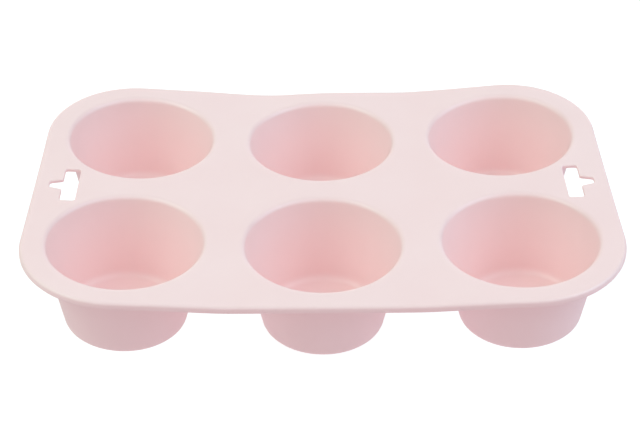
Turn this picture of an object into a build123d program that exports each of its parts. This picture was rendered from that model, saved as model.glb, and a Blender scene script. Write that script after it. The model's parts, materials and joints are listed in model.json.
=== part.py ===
from build123d import *
import os
from math import asin, degrees

# A six-cup muffin pan moulded in one piece from soft silicone. Its regions are written as separate
# solids, so that the ones that flex can move: three deck panels, two flex webs between the columns
# of cups, a rim bead in four runs, six conical cup walls and six cup floors that can be pushed up.
#
# Millimetres. The origin is the middle of the pan on the surface that it stands on: +X runs along
# its length, +Y from the front row of cups to the back row, and +Z up. Both end columns of cups lift
# a little, as a soft pan's do, by turning about the flex webs.

# cups
column_pitch = 86.0
row_pitch = 84.0
pan_height = 41.5          # from the surface that the pan stands on to the top of the flat deck
cup_mouth_radius = 34.2    # the inner wall's line, produced up to the deck's top face
cup_base_radius = 25.4     # the same line, produced down to the underside
wall_thickness = 1.6       # measured level, across the sloping wall
mouth_round = 3.5          # the rolled lip, from the deck down into the cup
collar_round = 1.5         # under the deck, where the cup's outside meets it
inner_floor_round = 4.0
outer_base_round = 2.5
collar_radius = 37.5       # where a cup's lip ends and the flat deck begins

# cup floors
floor_thickness = 2.0
floor_radius = 22.0
floor_gap = 0.3            # the thin crease between a floor that flexes and the ring around it

# deck and rim
deck_thickness = 1.8
edge_offset = 45.0         # from the axis of a corner cup to the pan's outer edge
corner_radius = 43.5
rim_width = 4.0
rim_depth = 3.6
rim_top_round = 1.4
rim_lower_round = 1.0

# hanging slots at both short ends: a rectangle across the pan, with a tapering notch in the middle
# of its outer side for the hook or nail
slot_offset = 29.0         # from the axes of the end cups outwards to the middle of the slot
slot_width = 7.0
slot_length = 25.0
slot_corner_round = 1.2
notch_length = 6.0
notch_neck = 7.6           # how wide it is where it opens out of the slot
notch_tip = 4.2            # and at its outer end
notch_tip_round = 1.2

# flex webs, the strips of deck between the columns of cups that bend when an end is folded
flex_web_width = 6.0
end_lift = 5.5             # how far the rim at each short end rises above the flat middle of the deck

half_length = column_pitch + edge_offset
half_width = row_pitch / 2 + edge_offset
web_line = column_pitch / 2
web_inner = web_line - flex_web_width / 2
web_outer = web_line + flex_web_width / 2
deck_underside = pan_height - deck_thickness
deck_mid_plane = pan_height - deck_thickness / 2
curl_angle = degrees(asin(end_lift / (half_length - web_line)))
wall_slope = (cup_mouth_radius - cup_base_radius) / pan_height

columns = {"left": -1, "middle": 0, "right": 1}
rows = {"front": -1, "back": 1}


def write_node(shape, name):
    """Write one sub-part to its own file."""
    export_step(shape, f"parts/{name}.step")


def curl(shape, side, angle=curl_angle):
    """Turn a shape that belongs to an end column about its flex web, so that its outer end lifts."""
    if side == 0:
        return shape
    hinge = Axis((side * web_line, 0, deck_mid_plane), (0, 1, 0))
    return shape.rotate(hinge, -side * angle)


def band(x_low, x_high):
    """A block across the whole pan between two places along its length."""
    size = (x_high - x_low, 2.5 * half_width, 2.5 * pan_height)
    return Pos((x_low + x_high) / 2, 0, pan_height / 2) * Box(*size)


def column_band(side):
    """The block that holds the deck of one column, from web to web or from a web past the end."""
    if side == 0:
        return band(-web_inner, web_inner)
    ends = sorted((side * web_outer, side * 2 * half_length))
    return band(*ends)


def row_block(row):
    """The block that holds one row of cups."""
    size = (4 * half_length, 2 * half_width, 2.5 * pan_height)
    return Pos(0, row * half_width, pan_height / 2) * Box(*size)


def outline(inset):
    """The pan's outline seen from above, drawn in by an inset."""
    size = (2 * (half_length - inset), 2 * (half_width - inset))
    return RectangleRounded(*size, corner_radius - inset)


def deck_sheet():
    """The whole flat deck inside the rim, before it is opened and cut into panels."""
    return Pos(0, 0, deck_underside) * extrude(outline(rim_width), deck_thickness)


def rim_bead():
    """The whole rim: a bead deeper than the deck, rounded along its outer edge."""
    slab = extrude(outline(0), rim_depth)
    slab = fillet(slab.faces().sort_by(Axis.Z)[-1].edges(), rim_top_round)
    slab = fillet(slab.faces().sort_by(Axis.Z)[0].edges(), rim_lower_round)
    hole = Pos(0, 0, -rim_depth) * extrude(outline(rim_width), 3 * rim_depth)
    return Pos(0, 0, pan_height - rim_depth) * (slab - hole)


def mouth_openings(side):
    """The round openings in one column's deck panel, which the cups' lips fill."""
    opening = extrude(Circle(collar_radius), 2.5 * deck_thickness)
    places = [(side * column_pitch, row * row_pitch / 2) for row in rows.values()]
    base = deck_underside - deck_thickness / 2
    return [Pos(x, y, base) * opening for x, y in places]


def hang_slot(side):
    """The cutter for the hanging slot at one short end."""
    slot_x = side * (column_pitch + slot_offset)
    neck_x = slot_x + side * slot_width / 2
    tip_x = neck_x + side * notch_length
    slot = Pos(slot_x, 0) * RectangleRounded(slot_width, slot_length, slot_corner_round)
    tips = [(tip_x, notch_tip / 2), (tip_x, -notch_tip / 2)]
    necks = [(neck_x, -notch_neck / 2), (neck_x, notch_neck / 2)]
    root = [(slot_x, -notch_neck / 2), (slot_x, notch_neck / 2)]
    notch = make_face(Polyline(*tips, necks[0], *root, necks[1], close=True))
    notch = rounded(notch, [((x, y, 0), notch_tip_round) for x, y in tips])
    profile = slot + notch
    return Pos(0, 0, deck_underside - deck_thickness / 2) * extrude(profile, 2.5 * deck_thickness)


def deck_panel(side):
    """One column's panel of the deck, with its two mouths and, at an end, the hanging slot."""
    panel = deck_sheet() & column_band(side)
    for opening in mouth_openings(side):
        panel -= opening
    if side != 0:
        panel -= hang_slot(side)
    return curl(panel, side)


def rounded(section, corners):
    """Round a section's corners, given as (point, radius)."""
    for point, radius in corners:
        corner = section.vertices().sort_by_distance(point)[0]
        section = fillet(corner, radius)
    return section


def web_section(x):
    """The pan cut across at a flex web: the thin deck with the rim's bead at both of its ends."""
    bead_low = pan_height - rim_depth
    half = [
        (x, half_width - rim_width, deck_underside),
        (x, half_width - rim_width, bead_low),
        (x, half_width, bead_low),
        (x, half_width, pan_height),
    ]
    mirrored = [(x, -y, z) for x, y, z in reversed(half)]
    rounds = [(half[3], rim_top_round), (mirrored[0], rim_top_round)]
    rounds += [(half[2], rim_lower_round), (mirrored[1], rim_lower_round)]
    return rounded(make_face(Polyline(*half, *mirrored, close=True)), rounds)


def flex_web(side):
    """The bending strip between two columns: flat to its middle, and curled up beyond it."""
    level = web_section(side * web_inner)
    middle = curl(web_section(side * web_line), side, curl_angle / 2)
    raised = curl(web_section(side * web_outer), side)
    return loft([level, middle, raised], ruled=True)


def end_rim(side):
    """The bead around one end column: along the short end, round two corners and along its rows."""
    return curl(rim_bead() & column_band(side), side)


def middle_rim(row):
    """The straight bead along the front or the back of the middle column."""
    return rim_bead() & column_band(0) & row_block(row)


def cup_wall(side, row):
    """A cup's conical wall, from its rolled lip in the deck down to the ring that it stands on."""
    ring_radius = floor_radius + floor_gap
    outer_base = (cup_base_radius + wall_thickness, 0, 0)
    outer_top_radius = outer_base[0] + wall_slope * deck_underside
    under_collar = (outer_top_radius, 0, deck_underside)
    mouth = (cup_mouth_radius, 0, pan_height)
    inner_base = (cup_base_radius + wall_slope * floor_thickness, 0, floor_thickness)
    points = [
        (ring_radius, 0, 0),
        outer_base,
        under_collar,
        (collar_radius, 0, deck_underside),
        (collar_radius, 0, pan_height),
        mouth,
        inner_base,
        (ring_radius, 0, floor_thickness),
    ]
    corners = [
        (outer_base, outer_base_round),
        (under_collar, collar_round),
        (mouth, mouth_round),
        (inner_base, inner_floor_round),
    ]
    section = rounded(make_face(Polyline(*points, close=True)), corners)
    wall = revolve(section, Axis.Z)
    return curl(Pos(side * column_pitch, row * row_pitch / 2, 0) * wall, side)


def cup_floor(side, row):
    """A cup's floor, the disc that is pushed up to free what was baked in the cup."""
    disc = extrude(Circle(floor_radius), floor_thickness)
    return curl(Pos(side * column_pitch, row * row_pitch / 2, 0) * disc, side)


os.makedirs("parts", exist_ok=True)

for column_name, side in columns.items():
    write_node(deck_panel(side), f"deck_{column_name}")
    for row_name, row in rows.items():
        write_node(cup_wall(side, row), f"cup_wall_{row_name}_{column_name}")
        write_node(cup_floor(side, row), f"cup_floor_{row_name}_{column_name}")

for column_name in ("left", "right"):
    side = columns[column_name]
    write_node(flex_web(side), f"flex_web_{column_name}")
    write_node(end_rim(side), f"rim_{column_name}")

for row_name, row in rows.items():
    write_node(middle_rim(row), f"rim_{row_name}")
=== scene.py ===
import json
from math import asin, atan2, cos, pi, radians, sin

import bmesh
import bpy
import numpy as np
from mathutils import Matrix, Vector, noise
from mathutils.geometry import delaunay_2d_cdt


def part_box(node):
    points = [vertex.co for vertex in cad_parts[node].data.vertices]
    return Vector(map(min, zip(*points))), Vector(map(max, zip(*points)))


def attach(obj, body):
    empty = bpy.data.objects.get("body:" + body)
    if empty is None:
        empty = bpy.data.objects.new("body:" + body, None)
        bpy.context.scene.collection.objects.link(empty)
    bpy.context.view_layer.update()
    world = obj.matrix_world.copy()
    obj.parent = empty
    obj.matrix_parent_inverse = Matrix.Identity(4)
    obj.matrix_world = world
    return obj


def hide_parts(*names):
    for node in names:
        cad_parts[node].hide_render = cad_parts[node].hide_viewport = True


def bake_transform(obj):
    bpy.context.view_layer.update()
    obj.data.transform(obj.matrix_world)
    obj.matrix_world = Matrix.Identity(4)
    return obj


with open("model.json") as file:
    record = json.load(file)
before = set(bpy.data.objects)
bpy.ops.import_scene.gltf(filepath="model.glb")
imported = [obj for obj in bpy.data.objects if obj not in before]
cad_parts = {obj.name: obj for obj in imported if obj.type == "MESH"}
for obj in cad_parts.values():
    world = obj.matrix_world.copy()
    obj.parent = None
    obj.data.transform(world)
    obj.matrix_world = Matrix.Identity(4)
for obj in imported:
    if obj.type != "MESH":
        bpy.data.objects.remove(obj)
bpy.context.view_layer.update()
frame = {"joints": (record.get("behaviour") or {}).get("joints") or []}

# A silicone muffin pan. Everything is first drawn flat, as it leaves the mould, and then bent into
# the shape that it has at rest: each end column curls up about its flex web, and the thin deck is
# a little uneven. Lengths are in metres, and MM turns millimetres into metres.

MM = 0.001


# ---------------------------------------------------------------- sizes

def extent(node, axis):
    """How far a CAD node reaches along an axis, as (low, high)."""
    low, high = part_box(node)
    return low[axis], high[axis]


def joint(name):
    """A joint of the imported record, by its name."""
    return next(j for j in frame["joints"] if j["name"] == name)


X, Y, Z = 0, 1, 2
COLUMNS = {"left": -1, "middle": 0, "right": 1}
ROWS = {"front": -1, "back": 1}

# from the frame
deck_under, deck_top = extent("deck_middle", Z)
rim_under = extent("rim_front", Z)[0]
half_width = extent("rim_back", Y)[1]
rim_width = half_width - extent("rim_back", Y)[0]
row_offset = sum(extent("cup_wall_back_middle", Y)) / 2
web_line, _, hinge_height = joint("flex_right")["pos_m"]
column_offset = 2 * web_line
curl_angle = asin(-joint("push_back_right")["axis"][X])
half_length = web_line + (extent("rim_right", X)[1] - web_line) / cos(curl_angle)

# the moulding's own shape
corner_radius = 43.5 * MM
mouth_radius = 34.2 * MM       # the inner wall's line at the deck's top face
base_radius = 25.4 * MM        # the same line at the underside
wall_thickness = 1.6 * MM
floor_thickness = 2.0 * MM
mouth_round = 2.4 * MM
collar_round = 1.5 * MM
inner_floor_round = 3.5 * MM
outer_base_round = 2.5 * MM
lip_radius = 37.3 * MM         # where a cup's piece meets the deck's, on the flat
rim_top_round = 1.4 * MM
rim_lower_round = 1.0 * MM
rim_inner_round = 0.6 * MM
slot_round = 0.5 * MM          # the softened edges of the hanging slots
slot_centre = column_offset + 29.0 * MM
slot_width = 7.0 * MM
slot_length = 25.0 * MM
slot_corner = 1.2 * MM
notch_length = 6.0 * MM
notch_neck = 7.6 * MM
notch_tip = 4.2 * MM
notch_neck_round = 0.8 * MM
notch_tip_round = 1.2 * MM

# the slack of the thin deck: each short end sags in its middle and its back corner lifts most, and
# the back edge dips just left of its middle
end_sag = -1.2 * MM
end_lean = 0.9 * MM
end_twist = 0.4 * MM
corner_lift = 1.4 * MM
back_rise = 0.6 * MM
back_dip = 1.3 * MM
dip_place, dip_width = -25 * MM, 18 * MM
unevenness = 0.3 * MM
unevenness_length = 55 * MM

# how finely the meshes are drawn
cup_segments = 144
cup_spacing = 1.1 * MM         # along a cup's profile
deck_spacing = 2.0 * MM
deck_margin = 0.7 * deck_spacing    # the least room between a fill's inner points and its edges
edge_spacing = 1.6 * MM
slot_spacing = 0.8 * MM
weld_distance = 0.01 * MM
crease = radians(50)           # sharper edges than this aren't shaded smooth

# where one strip of mesh meets the next
top_inset = 2.2 * MM           # the rim's strip and the deck's flat top
under_inset = 4.8 * MM         # the same on the underside
slot_strip = 1.6 * slot_round  # a slot's softened edge and the flat deck round it
floor_fill_radius = 15.0 * MM  # the rings of a cup's floor and the fill of its middle

# where the middle deck piece ends and the end pieces begin, clear of every cup's lip
seam = 38.0 * MM
bend_from = 36.0 * MM
bend_to = 2 * web_line - bend_from


# ---------------------------------------------------------------- the shape at rest

def smooth(share):
    """Ease from 0 to 1 with level ends."""
    share = np.clip(share, 0, 1)
    return share**2 * (3 - 2 * share)


bend_samples = np.linspace(0, 1.1 * half_length, 600)
bend_slope = curl_angle * smooth((bend_samples - bend_from) / (bend_to - bend_from))
sample_step = bend_samples[1]


def running_sum(values):
    """The integral of evenly spaced samples, beginning at zero."""
    middles = (values[1:] + values[:-1]) / 2
    return np.concatenate([[0], np.cumsum(middles) * sample_step])


bend_along, bend_up = running_sum(np.cos(bend_slope)), running_sum(np.sin(bend_slope))


def curl(points):
    """Bend flat points up at both ends, about the flex webs."""
    side = np.sign(points[:, X])
    reach = np.abs(points[:, X])
    height = points[:, Z] - hinge_height
    slope = np.interp(reach, bend_samples, bend_slope)
    along = np.interp(reach, bend_samples, bend_along) - height * np.sin(slope)
    up = hinge_height + np.interp(reach, bend_samples, bend_up) + height * np.cos(slope)
    return np.stack([side * along, points[:, Y], up], axis=1)


def soft_noise(points, wavelength, seed):
    """Smooth noise from -1 to 1 at each point."""
    shift = Vector((3.7 * seed, 1.3 * seed, 7.1 * seed))
    return np.array([noise.noise(Vector(p) / wavelength + shift) for p in points])


def slack(points):
    """How far the soft deck stands above or below the plain curl, at each point."""
    across = points[:, Y] / half_width
    end = smooth((np.abs(points[:, X]) - bend_from) / (half_length - bend_from))
    lean = end_lean + end_twist * np.sign(points[:, X])
    ends = end * (end_sag + lean * across + corner_lift * across**2)
    dip = np.exp(-(((points[:, X] - dip_place) / dip_width) ** 2))
    back = np.clip(across, 0, None) ** 2 * (back_rise - back_dip * dip)
    return ends + back + unevenness * soft_noise(points * (1, 1, 0), unevenness_length, 1)


def settle(points):
    """The pan at rest: curled, with the slack of a thin soft deck, which its cups follow."""
    raised = np.clip(points[:, Z] / deck_top, 0, 1) ** 2
    settled = curl(points)
    settled[:, Z] += slack(points) * raised
    return settled


# ---------------------------------------------------------------- mesh tools

class Shell:
    """Vertices and faces gathered from grids and fills, then welded into one closed mesh.

    It is drawn for the right end of the pan; side -1 mirrors it to the left end.
    """

    def __init__(self, side=1):
        self.mirror = np.array([side, 1, 1])
        self.points, self.faces, self.count = [], [], 0

    def add(self, points, faces):
        """Add points, as an array, and faces that index into them."""
        self.points.append(np.asarray(points, float) * self.mirror)
        self.faces += [[self.count + i for i in face] for face in faces]
        self.count += len(points)

    def grid(self, rows, closed=False):
        """Quads between rows of points. Each row is a loop where closed."""
        rows = np.asarray(rows)
        n, m = rows.shape[:2]
        faces = []
        for i in range(n - 1):
            for j in range(m if closed else m - 1):
                k = (j + 1) % m
                faces.append([i * m + j, i * m + k, (i + 1) * m + k, (i + 1) * m + j])
        self.add(rows.reshape(-1, 3), faces)

    def sweep(self, path, profile, closed):
        """Sweep a profile of (distance to the right of a flat path, height) along that path."""
        side = normals(path, closed)
        self.grid([level(path + side * distance, height) for distance, height in profile], closed)

    def fill(self, outer, holes, height):
        """Fill a flat outline with even triangles at one height, leaving the holes open."""
        loops = [outer, *holes]
        edges, start = [], 0
        for loop in loops:
            n = len(loop)
            edges += [(start + i, start + (i + 1) % n) for i in range(n)]
            start += n
        rim = np.concatenate(loops)
        inner = even_points(outer, deck_spacing)
        inner = inner[inside(inner, loops)]
        gaps = np.linalg.norm(inner[:, None, :] - rim[None, :, :], axis=2).min(axis=1)
        inner = inner[gaps > deck_margin]
        flat = [Vector(p) for p in np.concatenate([rim, inner]) / MM]
        found = delaunay_2d_cdt(flat, edges, [], 0, 1e-6, False)
        places = np.array(found[0]) * MM
        middles = np.array([places[list(f)].mean(axis=0) for f in found[2]])
        kept = [f for f, ok in zip(found[2], inside(middles, loops)) if ok]
        self.add(level(places, height), kept)

    def make(self, name):
        """The welded mesh as an object, in its shape at rest."""
        mesh = bpy.data.meshes.new(name)
        mesh.from_pydata(np.concatenate(self.points).tolist(), [], self.faces)
        made = bpy.data.objects.new(name, mesh)
        bpy.context.scene.collection.objects.link(made)
        bm = bmesh.new()
        bm.from_mesh(mesh)
        bmesh.ops.remove_doubles(bm, verts=bm.verts, dist=weld_distance)
        open_edges = [e for e in bm.edges if e.is_boundary]
        if open_edges:
            caps = bmesh.ops.holes_fill(bm, edges=open_edges, sides=0)["faces"]
            bmesh.ops.triangulate(bm, faces=caps)
        bmesh.ops.recalc_face_normals(bm, faces=bm.faces)
        for face in bm.faces:
            face.smooth = True
        for edge in bm.edges:
            edge.smooth = len(edge.link_faces) == 2 and edge.calc_face_angle() < crease
        for vertex, place in zip(bm.verts, settle(np.array([v.co for v in bm.verts]))):
            vertex.co = place
        bm.to_mesh(mesh)
        bm.free()
        return made


def level(flat, height):
    """Flat points at one height."""
    return np.column_stack([flat, np.full(len(flat), height)])


def even_points(outline, spacing):
    """A triangular lattice over the box around an outline."""
    low, high = outline.min(axis=0), outline.max(axis=0)
    row_step = spacing * sin(pi / 3)
    rows = np.arange(low[1], high[1], row_step)
    points = []
    for i, y in enumerate(rows):
        xs = np.arange(low[0] + (i % 2) * spacing / 2, high[0], spacing)
        points.append(np.column_stack([xs, np.full(len(xs), y)]))
    return np.concatenate(points)


def inside(points, loops):
    """Which points are in the outer loop and in none of the others."""
    odd = np.zeros(len(points), bool)
    x, y = points[:, 0], points[:, 1]
    for loop in loops:
        for (ax, ay), (bx, by) in zip(loop, np.roll(loop, -1, axis=0)):
            if ay != by:
                crosses = (ay > y) != (by > y)
                odd ^= crosses & (x < ax + (y - ay) * (bx - ax) / (by - ay))
    return odd


def normals(path, closed):
    """Unit vectors to the right of the way that the path runs."""
    if closed:
        along = np.roll(path, -1, axis=0) - np.roll(path, 1, axis=0)
    else:
        along = np.gradient(path, axis=0)
    along /= np.linalg.norm(along, axis=1)[:, None]
    return np.stack([along[:, 1], -along[:, 0]], axis=1)


def turned(vector, angle):
    """A flat vector turned anticlockwise."""
    return np.array([cos(angle) * vector[0] - sin(angle) * vector[1],
                     sin(angle) * vector[0] + cos(angle) * vector[1]])


def rounded_path(corners, step, closed=False):
    """A path through corners given as (x, y, radius), with arcs at the corners and even steps."""
    places = [np.array(c[:2], float) for c in corners]
    n = len(corners)
    path = [] if closed else [places[0]]
    for i in range(n) if closed else range(1, n - 1):
        before, here, after = places[i - 1], places[i], places[(i + 1) % n]
        into = (here - before) / np.linalg.norm(here - before)
        out = (after - here) / np.linalg.norm(after - here)
        turn = atan2(into[0] * out[1] - into[1] * out[0], into @ out)
        radius = corners[i][2]
        start = here - into * radius * abs(np.tan(turn / 2))
        to_centre = turned(into, pi / 2 if turn > 0 else -pi / 2) * radius
        steps = max(4, round(abs(turn) * radius / step))
        for k in range(steps + 1):
            path.append(start + to_centre - turned(to_centre, turn * k / steps))
    if not closed:
        path.append(places[-1])
    return divided(path, step, closed)


def divided(path, step, closed=False):
    """A path with its long runs cut into even steps."""
    result = []
    for a, b in zip(path, path[1:] + path[:1] if closed else path[1:]):
        count = max(1, round(np.linalg.norm(b - a) / step))
        result += [a + (b - a) * k / count for k in range(count)]
    return np.array(result if closed else result + [path[-1]])


def arc(x, y, radius, start, end, steps=6):
    """Points on an arc about (x, y), with angles in degrees."""
    angles = np.radians(np.linspace(start, end, steps + 1))
    return [(x + radius * cos(a), y + radius * sin(a)) for a in angles]


def circle(x, y, radius):
    """A cup's circle, with as many points as a cup has segments."""
    angles = 2 * pi * np.arange(cup_segments) / cup_segments
    return np.column_stack([x + radius * np.cos(angles), y + radius * np.sin(angles)])


# ---------------------------------------------------------------- deck and rim

def rim_profile():
    """The rim's bead cut across, from the deck's top face round the edge to its underside."""
    return [
        (-top_inset, deck_top),
        *arc(-rim_top_round, deck_top - rim_top_round, rim_top_round, 90, 0, 8),
        *arc(-rim_lower_round, rim_under + rim_lower_round, rim_lower_round, 0, -90),
        *arc(-rim_width + rim_inner_round, rim_under + rim_inner_round, rim_inner_round, -90, -180),
        *arc(-rim_width - rim_inner_round, deck_under - rim_inner_round, rim_inner_round, 0, 90),
        (-under_inset, deck_under),
    ]


def slot_profile():
    """The edge of a hanging slot cut across, softened above and below."""
    return [
        (slot_strip, deck_top),
        *arc(slot_round, deck_top - slot_round, slot_round, 90, 180),
        *arc(slot_round, deck_under + slot_round, slot_round, 180, 270),
        (slot_strip, deck_under),
    ]


def slot_outline():
    """The hanging slot at the right end: a rectangle with a tapering notch towards the pan's end."""
    near, far = slot_centre - slot_width / 2, slot_centre + slot_width / 2
    tip = far + notch_length
    half, neck_half, tip_half = slot_length / 2, notch_neck / 2, notch_tip / 2
    corners = [
        (near, -half, slot_corner), (far, -half, slot_corner),
        (far, -neck_half, notch_neck_round), (tip, -tip_half, notch_tip_round),
        (tip, tip_half, notch_tip_round), (far, neck_half, notch_neck_round),
        (far, half, slot_corner), (near, half, slot_corner),
    ]
    return rounded_path(corners, slot_spacing, closed=True)


def seam_line(inset, x, upwards):
    """Points across the pan where two deck pieces meet, clear of the ends by an inset."""
    reach = half_width - inset
    ends = [np.array([x, -reach]), np.array([x, reach])]
    line = divided(ends, deck_spacing)
    return (line if upwards else line[::-1])[1:-1]


def add_lips(shell, x):
    """The walls of the two round openings in a column of deck, which meet the cups' lips."""
    loops = [circle(x, row * row_offset, lip_radius) for row in ROWS.values()]
    for loop in loops:
        shell.grid([level(loop, deck_top), level(loop, deck_under)], closed=True)
    return loops


def deck_end(name, side):
    """One end of the deck, from the seam round the pan's end: sheet, rim, openings and slot."""
    shell = Shell(side)
    corners = [
        (seam, -half_width), (half_length, -half_width, corner_radius),
        (half_length, half_width, corner_radius), (seam, half_width),
    ]
    edge = rounded_path(corners, edge_spacing)
    shell.sweep(edge, rim_profile(), closed=False)
    slot = slot_outline()
    shell.sweep(slot, slot_profile(), closed=True)
    slot_loop = slot + normals(slot, True) * slot_strip
    holes = [*add_lips(shell, column_offset), slot_loop]
    for inset, height in ((top_inset, deck_top), (under_inset, deck_under)):
        outer = edge - normals(edge, False) * inset
        shell.fill(np.concatenate([outer, seam_line(inset, seam, False)]), holes, height)
    return shell.make(name)


def deck_middle(name):
    """The middle of the deck, between the seams, with the rim along the front and the back."""
    shell = Shell()
    front = divided([np.array([-seam, -half_width]), np.array([seam, -half_width])], edge_spacing)
    back = divided([np.array([seam, half_width]), np.array([-seam, half_width])], edge_spacing)
    for edge in (front, back):
        shell.sweep(edge, rim_profile(), closed=False)
    holes = add_lips(shell, 0)
    for inset, height in ((top_inset, deck_top), (under_inset, deck_under)):
        outer = [front + (0, inset), seam_line(inset, seam, True),
                 back - (0, inset), seam_line(inset, -seam, False)]
        shell.fill(np.concatenate(outer), holes, height)
    return shell.make(name)


# ---------------------------------------------------------------- cups

def cup_profile():
    """A cup cut from its axis outwards: (inside from the lip to the floor, outside back up)."""
    slope = (mouth_radius - base_radius) / deck_top
    inside_corners = [
        (lip_radius, deck_top), (mouth_radius, deck_top, mouth_round),
        (base_radius + slope * floor_thickness, floor_thickness, inner_floor_round),
        (floor_fill_radius, floor_thickness),
    ]
    outer_base = base_radius + wall_thickness
    outside_corners = [
        (floor_fill_radius, 0), (outer_base, 0, outer_base_round),
        (outer_base + slope * deck_under, deck_under, collar_round), (lip_radius, deck_under),
    ]
    return [rounded_path(corners, cup_spacing) for corners in (inside_corners, outside_corners)]


def cup(name, side, row):
    """One cup: its rolled lip, conical wall and floor."""
    shell = Shell()
    x, y = side * column_offset, row * row_offset
    inner, outer = cup_profile()
    for path in (inner, outer, [outer[-1], inner[0]]):
        shell.grid([level(circle(x, y, radius), height) for radius, height in path], closed=True)
    for height in (floor_thickness, 0):
        shell.fill(circle(x, y, floor_fill_radius), [], height)
    return shell.make(name)


# ---------------------------------------------------------------- materials

def node(tree, kind, x, y, **inputs):
    """A shader node, with the inputs given by name, such as From_Min for the input From Min."""
    made = tree.nodes.new(kind)
    made.location = (x, y)
    for name, value in inputs.items():
        made.inputs[name.replace("_", " ")].default_value = value
    return made


def silicone():
    """Pale pink matt silicone rubber: faint mottling, a fine satin grain and soft handling marks."""
    material = bpy.data.materials.new("pan_silicone")
    material.use_nodes = True
    tree = material.node_tree
    link = tree.links.new
    shader = tree.nodes["Principled BSDF"]
    place = node(tree, "ShaderNodeTexCoord", -1200, 0)

    def noise_map(scale, detail, x, y):
        made = node(tree, "ShaderNodeTexNoise", x, y, Scale=scale, Detail=detail, Roughness=0.55)
        link(place.outputs["Object"], made.inputs["Vector"])
        return made

    mottle = noise_map(scale=28, detail=3, x=-1000, y=300)
    tint = node(tree, "ShaderNodeValToRGB", -780, 300)
    tint.color_ramp.elements[0].position, tint.color_ramp.elements[1].position = 0.3, 0.7
    tint.color_ramp.elements[0].color = (0.98, 0.68, 0.68, 1)
    tint.color_ramp.elements[1].color = (0.99, 0.70, 0.70, 1)
    link(mottle.outputs["Fac"], tint.inputs["Fac"])
    link(tint.outputs["Color"], shader.inputs["Base Color"])

    marks = noise_map(scale=60, detail=4, x=-1000, y=0)
    roughness = node(tree, "ShaderNodeMapRange", -780, 0,
                     From_Min=0.3, From_Max=0.7, To_Min=0.38, To_Max=0.48)
    link(marks.outputs["Fac"], roughness.inputs["Value"])
    link(roughness.outputs["Result"], shader.inputs["Roughness"])

    grain = noise_map(scale=2600, detail=2, x=-1000, y=-300)
    swell = noise_map(scale=130, detail=2, x=-1000, y=-560)
    fine = node(tree, "ShaderNodeBump", -520, -300, Strength=0.25, Distance=0.00006)
    broad = node(tree, "ShaderNodeBump", -300, -300, Strength=0.5, Distance=0.00012)
    link(grain.outputs["Fac"], fine.inputs["Height"])
    link(swell.outputs["Fac"], broad.inputs["Height"])
    link(fine.outputs["Normal"], broad.inputs["Normal"])
    link(broad.outputs["Normal"], shader.inputs["Normal"])
    shader.inputs["IOR"].default_value = 1.41
    shader.inputs["Specular IOR Level"].default_value = 1.0
    return material


def floor_material(name, paleness, glow):
    """A matt grey floor, as pale as given, that glows like a light table and is clear from below."""
    material = bpy.data.materials.new(name)
    material.use_nodes = True
    tree = material.node_tree
    link = tree.links.new
    shader, output = tree.nodes["Principled BSDF"], tree.nodes["Material Output"]
    shader.inputs["Base Color"].default_value = (paleness, paleness, paleness, 1)
    shader.inputs["Roughness"].default_value = 0.9
    shader.inputs["Specular IOR Level"].default_value = 0.1
    shader.inputs["Emission Color"].default_value = (*glow, 1)
    shader.inputs["Emission Strength"].default_value = 1
    side = node(tree, "ShaderNodeNewGeometry", -300, -300)
    clear = node(tree, "ShaderNodeBsdfTransparent", -300, -500)
    mix = node(tree, "ShaderNodeMixShader", 200, -200)
    link(side.outputs["Backfacing"], mix.inputs[0])
    link(shader.outputs[0], mix.inputs[1])
    link(clear.outputs[0], mix.inputs[2])
    link(mix.outputs[0], output.inputs["Surface"])
    return material


# ---------------------------------------------------------------- the pan

pan_silicone = silicone()


def finish_piece(piece, *nodes):
    """The finish that every piece shares, and the CAD nodes that it stands for."""
    piece.data.materials.append(pan_silicone)
    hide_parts(*nodes)


middle = deck_middle("deck_skin_middle")
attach(middle, "pan_middle")
finish_piece(middle, "deck_middle", "rim_front", "rim_back")

for column in ("left", "right"):
    side = COLUMNS[column]
    piece = deck_end(f"deck_skin_{column}", side)
    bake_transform(piece)
    finish_piece(piece, f"deck_{column}", f"flex_web_{column}", f"rim_{column}")

for column, side in COLUMNS.items():
    for row_name, row in ROWS.items():
        where = f"{row_name}_{column}"
        piece = cup(f"cup_skin_{where}", side, row)
        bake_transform(piece)
        finish_piece(piece, f"cup_wall_{where}", f"cup_floor_{where}")


# ---------------------------------------------------------------- studio

floor_drop = 60 * MM           # how far the floor lies below the pan, so that folded-down ends clear it
sheet_gap = 0.05 * MM          # between one sheet of the floor and the next


def floor_sheet(name, reach, drop, paleness, glow):
    """A level sheet at a given drop below the pan, reaching as far each way as given by (x, y)."""
    mesh = bpy.data.meshes.new(name)
    x, y = reach
    corners = [(-x, -y, -drop), (x, -y, -drop), (x, y, -drop), (-x, y, -drop)]
    mesh.from_pydata(corners, [], [[0, 1, 2, 3]])
    made = bpy.data.objects.new(name, mesh)
    made.data.materials.append(floor_material(name, paleness, glow))
    bpy.context.scene.collection.objects.link(made)
    return made


def studio_floor():
    """The floor: one sheet that only the camera sees, and two that light the pan from below."""
    wide = (6, 6)
    under_pan = (0.95 * half_length, 0.92 * half_width)
    seen = floor_sheet("studio_sweep", wide, floor_drop, paleness=0.3, glow=(0.85, 0.85, 0.85))
    seen.visible_diffuse = seen.visible_glossy = seen.visible_transmission = False
    seen.visible_shadow = False
    table = floor_sheet("studio_light_table", under_pan, floor_drop + sheet_gap,
                        paleness=0.9, glow=(0.24, 0.22, 0.26))
    lit = floor_sheet("studio_floor", wide, floor_drop + 2 * sheet_gap,
                      paleness=0.5, glow=(0.30, 0.19, 0.23))
    table.visible_camera = lit.visible_camera = False


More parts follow.
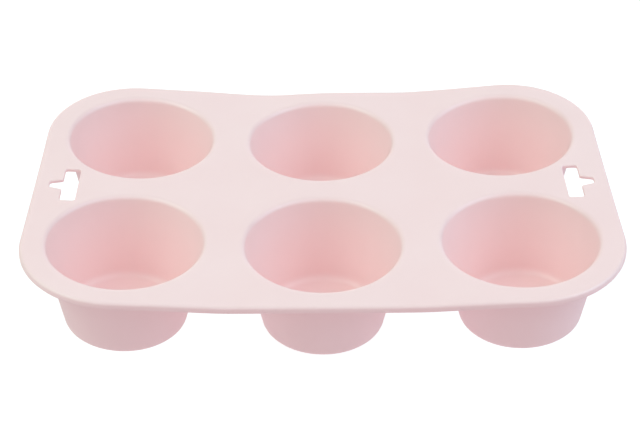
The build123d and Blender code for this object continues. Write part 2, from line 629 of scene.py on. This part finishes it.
def softbox(name, place, size, power, colour=(1, 1, 1)):
    """A softbox of a given width and height in metres and power in watts, facing the pan."""
    light = bpy.data.lights.new(name, "AREA")
    light.shape = "RECTANGLE"
    light.size, light.size_y = size
    light.energy, light.color = power, colour
    made = bpy.data.objects.new(name, light)
    made.location = place
    direction = Vector((0, 0, deck_top)) - Vector(place)
    made.rotation_euler = direction.to_track_quat("-Z", "Y").to_euler()
    bpy.context.scene.collection.objects.link(made)


def studio_light():
    """A dim white room, with softboxes over the camera, behind the pan and cooler ones at its sides."""
    world = bpy.data.worlds.new("studio")
    world.use_nodes = True
    world.node_tree.nodes["Background"].inputs["Color"].default_value = (1, 1, 1, 1)
    world.node_tree.nodes["Background"].inputs["Strength"].default_value = 0.30
    bpy.context.scene.world = world
    softbox("softbox_top", (0, -0.95, 1.3), (3.0, 1.7), 8.4)
    softbox("softbox_back_low", (0, 1.5, 0.35), (2.6, 0.7), 6.2)
    softbox("softbox_back_high", (0, 1.25, 0.9), (2.6, 1.0), 1.5)
    softbox("softbox_left", (-1.2, -0.2, 0.6), (0.8, 0.8), 2.4, (0.56, 1.0, 0.86))
    softbox("softbox_left_high", (-0.85, -0.1, 1.05), (0.7, 0.7), 6.0, (0.72, 1.0, 0.89))
    softbox("softbox_right", (1.2, -0.2, 0.6), (0.8, 0.8), 3.4, (0.38, 0.78, 1.0))
    softbox("softbox_right_high", (0.85, -0.1, 1.05), (0.7, 0.7), 5.6, (0.70, 0.94, 1.0))


def camera():
    """The camera: nearly square on to the long front, about 35 degrees above the horizon."""
    yaw, pitch, roll = radians(-0.46), radians(34.92), radians(-0.15)
    target = Vector((-1.1, -19.8, 41.5)) * MM
    distance = 662.0 * MM
    back = Vector((sin(yaw) * cos(pitch), -cos(yaw) * cos(pitch), sin(pitch)))
    data = bpy.data.cameras.new("camera")
    data.sensor_width, data.lens = 36, 83.3       # both in millimetres
    data.clip_start, data.clip_end = 0.05, 50
    made = bpy.data.objects.new("camera", data)
    aim = (-back).to_track_quat("-Z", "Y").to_matrix() @ Matrix.Rotation(roll, 3, "Z")
    made.matrix_world = Matrix.Translation(target + back * distance) @ aim.to_4x4()
    bpy.context.scene.collection.objects.link(made)
    bpy.context.scene.camera = made


studio_floor()
studio_light()
camera()
bpy.context.scene.view_settings.view_transform = "Standard"
